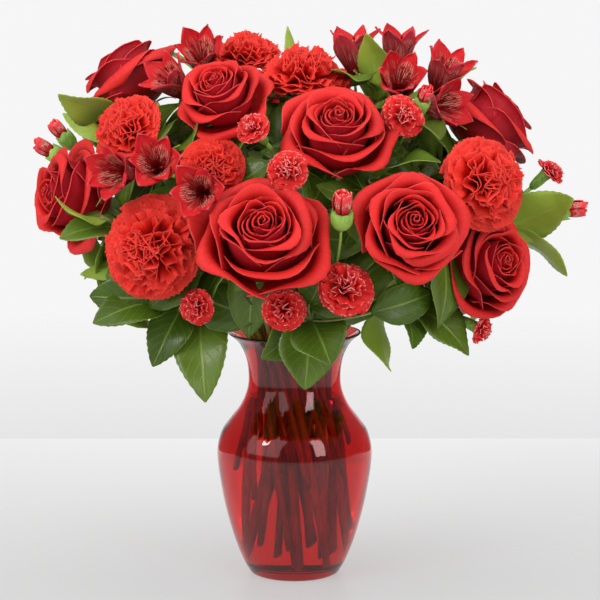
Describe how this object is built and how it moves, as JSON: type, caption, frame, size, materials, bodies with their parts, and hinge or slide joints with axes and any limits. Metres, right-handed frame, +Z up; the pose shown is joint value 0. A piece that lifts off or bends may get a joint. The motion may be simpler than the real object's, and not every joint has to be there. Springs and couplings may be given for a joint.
{
  "type": "vase of mixed cut flowers with carnations",
  "caption": "Bouquet of red carnations, spray carnations, roses and alstroemeria with leafy salal, standing in water in a waisted ruby glass vase.",
  "frame": {"origin": "centre of the vase's flat foot, on the surface it stands on", "axes": "+Z up, -Y towards the front of the bouquet, +X to the right seen from the front"},
  "size_m": [0.448, 0.3567, 0.4571],
  "materials": {
    "ruby_glass": "clear ruby red glass",
    "water": "clear water",
    "rose_petals": "velvety petals",
    "carnation_petals": "matt ruffled petals",
    "alstroemeria_petals": "satin petals",
    "stem_green": "waxy green stem",
    "leaf_green": "leathery leaf"
  },
  "bodies": {
    "root": {"vase": "ruby_glass", "water": "water", "rose_front_left": "rose_petals", "rose_stem_front_left": "stem_green", "rose_front_right": "rose_petals", "rose_stem_front_right": "stem_green", "rose_top_centre": "rose_petals", "rose_stem_top_centre": "stem_green", "rose_top_left": "rose_petals", "rose_stem_top_left": "stem_green", "rose_right": "rose_petals", "rose_stem_right": "stem_green", "rose_left": "rose_petals", "rose_stem_left": "stem_green", "rose_back_left": "rose_petals", "rose_stem_back_left": "stem_green", "rose_back_right": "rose_petals", "rose_stem_back_right": "stem_green", "rose_back_centre": "rose_petals", "rose_stem_back_centre": "stem_green", "rose_back_low": "rose_petals", "rose_stem_back_low": "stem_green", "carnation_front_left": "carnation_petals", "carnation_stem_front_left": "stem_green", "carnation_right": "carnation_petals", "carnation_stem_right": "stem_green", "carnation_top": "carnation_petals", "carnation_stem_top": "stem_green", "carnation_inner_left": "carnation_petals", "carnation_stem_inner_left": "stem_green", "carnation_left": "carnation_petals", "carnation_stem_left": "stem_green", "carnation_top_left": "carnation_petals", "carnation_stem_top_left": "stem_green", "carnation_back_left": "carnation_petals", "carnation_stem_back_left": "stem_green", "carnation_back_right": "carnation_petals", "carnation_stem_back_right": "stem_green", "spray_carnation_left": "carnation_petals", "spray_carnation_centre": "carnation_petals", "spray_carnation_low_left": "carnation_petals", "spray_carnation_low_centre": "carnation_petals", "spray_carnation_top_right": "carnation_petals", "spray_carnation_right": "carnation_petals", "alstroemeria_left": "alstroemeria_petals", "alstroemeria_centre_left": "alstroemeria_petals", "alstroemeria_top_left": "alstroemeria_petals", "alstroemeria_top_right": "alstroemeria_petals", "alstroemeria_right": "alstroemeria_petals", "alstroemeria_back": "alstroemeria_petals", "foliage_left_high": "leaf_green", "foliage_left": "leaf_green", "foliage_low_left": "leaf_green", "foliage_low_centre": "leaf_green", "foliage_low_right": "leaf_green", "foliage_right": "leaf_green", "foliage_centre": "leaf_green", "foliage_top": "leaf_green", "foliage_back_left": "leaf_green", "foliage_back_right": "leaf_green"}
  },
  "joints": []
}
